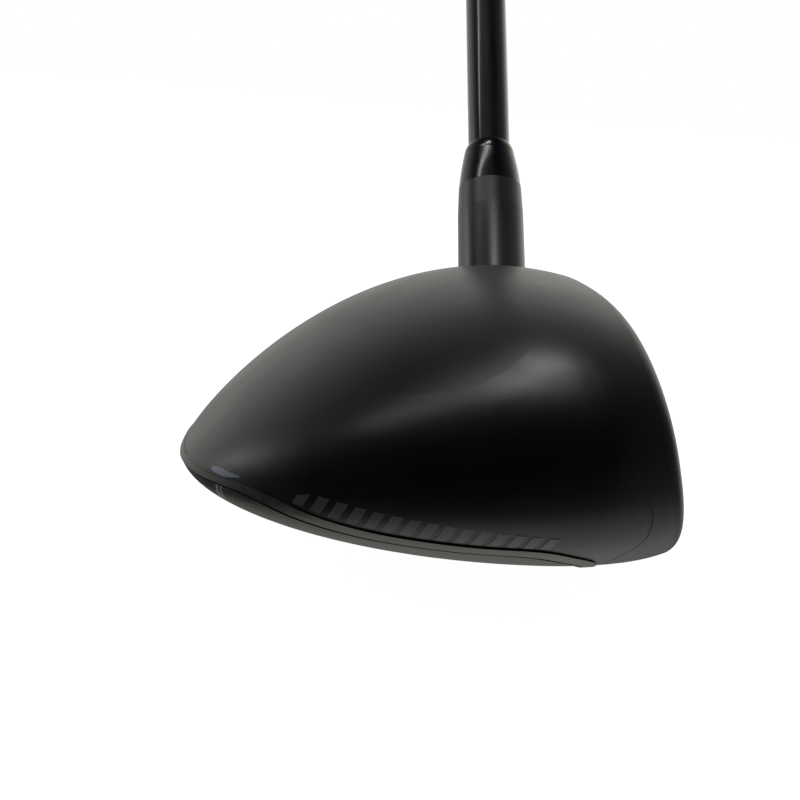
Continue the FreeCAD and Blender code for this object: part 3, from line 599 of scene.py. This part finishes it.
def axis_patch(name, turn, low, high, body):
    """A small white mark wrapped on the hosel or the sleeve."""
    points, faces = [], []
    for s in (low, high):
        for j in range(PATCH_ACROSS + 1):
            angle = turn + (j / PATCH_ACROSS - 0.5) * TICK_WIDTH / HOSEL_RADIUS
            place = Vector((math.cos(angle), math.sin(angle), 0)) * (HOSEL_RADIUS + TICK_PROUD)
            points.append(AXIS_FRAME @ ((place + Vector((0, 0, s))) * MM))
    for j in range(PATCH_ACROSS):
        faces.append((j, j + 1, j + PATCH_ACROSS + 2, j + PATCH_ACROSS + 1))
    mark = add_piece(name, points, faces, PRINT, smooth=False)
    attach(mark, body)


PRINT = simple("white_print", (0.55, 0.56, 0.57), (0.68, 0.69, 0.7), 1.5, 0.5, 0.3, 0.002).material
for k in range(TICKS):
    toward_heel = math.pi / 2 + (k - (TICKS - 1) / 2) * TICK_STEP
    axis_patch("sleeve_tick_%d" % k, toward_heel, HOSEL_TOP + TICK_GAP, HOSEL_TOP + TICK_GAP + TICK_HEIGHT,
               "shaft_assembly")
axis_patch("hosel_pointer", math.pi / 2, HOSEL_TOP - POINTER_DROPS[0], HOSEL_TOP - POINTER_DROPS[1], "head")


# ---- Floor, light and camera ----------------------------------------------------------------
# How the room glows, against one component of the direction: start, end, strength there
WALL_GLOW = (0.0, 0.7, 1.0)         # the back wall, against Y
WALL_TOP = (0.95, 0.0, 1.0)         # it fades upward, against Z
WALL_FOOT = (-0.55, -0.05, 1.0)     # and at its foot
WALL_LEVELS = (-0.45, 0.35, 0.6, 1.0)   # and is brighter on the target side, against X
SIDE_GLOW = (0.3, 0.9, 0.14)        # a dim wall on the target side, against X
FLOOR_GLOW = (-0.3, -1.0, 0.75)     # the floor, against Z
ROOM_GLOW = 0.011
ROOM_TINT, WALL_TINT = (0.6, 0.8, 1.0, 1), (1.0, 0.985, 0.94, 1)
TINT_FULL = 6.0                     # the wall's tint takes over this fast as the glow rises
FLOOR_HALF, FLOOR_DROP, FLOOR_WHITE = 6.0, 0.0002, 0.97


def floor():
    """A pale floor that glows a little, so that it stays paper white and takes a soft shadow."""
    corners = [(-FLOOR_HALF, -FLOOR_HALF, 0), (FLOOR_HALF, -FLOOR_HALF, 0), (FLOOR_HALF, FLOOR_HALF, 0),
               (-FLOOR_HALF, FLOOR_HALF, 0)]
    finish = Finish("studio_floor", roughness=0.9, Emission_Color=(1, 1, 1, 1), Emission_Strength=FLOOR_WHITE)
    finish.colour(finish.ramp(finish.noise(300, 2), (0.9, 0.9, 0.9), (0.92, 0.92, 0.92)))
    plane = add_piece("studio_floor", corners, [(0, 1, 2, 3)], finish.material, smooth=False)
    plane.location.z = -FLOOR_DROP
    plane.visible_glossy = False
    plane.visible_diffuse = False


def area_light(name, at, target, size, power):
    data = bpy.data.lights.new(name, "AREA")
    data.shape, data.size, data.size_y = "RECTANGLE", size[0], size[1]
    data.energy = power
    light = bpy.data.objects.new(name, data)
    light.location = at
    light.rotation_mode = "QUATERNION"
    light.rotation_quaternion = (Vector(target) - Vector(at)).to_track_quat("-Z", "Y")
    light.visible_camera = False
    bpy.context.collection.objects.link(light)


def studio_world():
    """White to the eye; what lights the club is a pale wall behind it and a pale floor below."""
    world = bpy.data.worlds.new("studio")
    bpy.context.scene.world = world
    world.use_nodes = True
    tree = world.node_tree
    background = tree.nodes["Background"]
    split = tree.nodes.new("ShaderNodeSeparateXYZ")
    tree.links.new(tree.nodes.new("ShaderNodeTexCoord").outputs["Generated"], split.inputs["Vector"])

    def glow(axis, start, end, strength, low=0.0):
        step = tree.nodes.new("ShaderNodeMapRange")
        step.interpolation_type = "SMOOTHSTEP"
        for label, value in zip(("From Min", "From Max", "To Min", "To Max"), (start, end, low, strength)):
            step.inputs[label].default_value = value
        tree.links.new(split.outputs[axis], step.inputs["Value"])
        return step.outputs["Result"]

    def combine(operation, first, second):
        node = tree.nodes.new("ShaderNodeMath")
        node.operation = operation
        for socket, value in zip(node.inputs, (first, second)):
            if isinstance(value, float):
                socket.default_value = value
            else:
                tree.links.new(value, socket)
        return node.outputs[0]

    def choose(kind, factor, first, second):
        node = tree.nodes.new("ShaderNodeMix")
        node.data_type = kind
        sockets = [socket for socket in node.inputs if socket.enabled]
        for socket, value in zip(sockets, (factor, first, second)):
            if isinstance(value, (float, tuple)):
                socket.default_value = value
            else:
                tree.links.new(value, socket)
        return [socket for socket in node.outputs if socket.enabled][0]

    wall = combine("MULTIPLY", glow("Y", *WALL_GLOW), glow("Z", *WALL_TOP))
    wall = combine("MULTIPLY", wall, glow("Z", *WALL_FOOT))
    start, end, left, right = WALL_LEVELS
    wall = combine("MULTIPLY", wall, glow("X", start, end, right, left))
    total = combine("ADD", combine("ADD", wall, glow("X", *SIDE_GLOW)), glow("Z", *FLOOR_GLOW))
    tint = choose("RGBA", combine("MULTIPLY", total, TINT_FULL), ROOM_TINT, WALL_TINT)
    eye = tree.nodes.new("ShaderNodeLightPath").outputs["Is Camera Ray"]
    strength = choose("FLOAT", eye, combine("ADD", total, ROOM_GLOW), 1.0)
    tree.links.new(strength, background.inputs["Strength"])
    tree.links.new(choose("RGBA", eye, tint, (1.0, 1.0, 1.0, 1.0)), background.inputs["Color"])


CAMERA_AT = Vector((-0.0519, -0.2113, 0.0710))
CAMERA_LOOK = Vector((0.1536, 0.9603, -0.2329))
CAMERA_ROLL = math.radians(5.3)
CAMERA_LENS, CAMERA_FILM = 58.1, 36.0
CAMERA_CLIP = (0.01, 50.0)


def camera():
    data = bpy.data.cameras.new("camera")
    data.lens, data.sensor_width = CAMERA_LENS, CAMERA_FILM
    data.clip_start, data.clip_end = CAMERA_CLIP
    eye = bpy.data.objects.new("camera", data)
    bpy.context.collection.objects.link(eye)
    turn = CAMERA_LOOK.to_track_quat("-Z", "Y").to_matrix().to_4x4()
    eye.matrix_world = Matrix.Translation(CAMERA_AT) @ turn @ Matrix.Rotation(CAMERA_ROLL, 4, "Z")
    bpy.context.scene.camera = eye


floor()
studio_world()
area_light("strip_left", (-0.62, 0.02, 0.92), (-0.62, 0.02, 0), (0.9, 0.1), 1.25)
area_light("strip_middle", (-0.12, 0.08, 1.0), (-0.12, 0.08, 0), (0.2, 0.11), 0.75)
area_light("strip_hot_end", (-0.08, 0.1, 1.0), (-0.08, 0.1, 0), (0.1, 0.08), 0.28)
area_light("left_wall", (-0.95, 0.45, 0.22), (0, 0, 0), (0.35, 0.3), 0.5)
area_light("near_softbox", (0.0, -0.01, 0.12), (0.005, 0.0, 0.04), (0.018, 0.02), 0.009)
camera()
bpy.context.scene.view_settings.view_transform = "Standard"
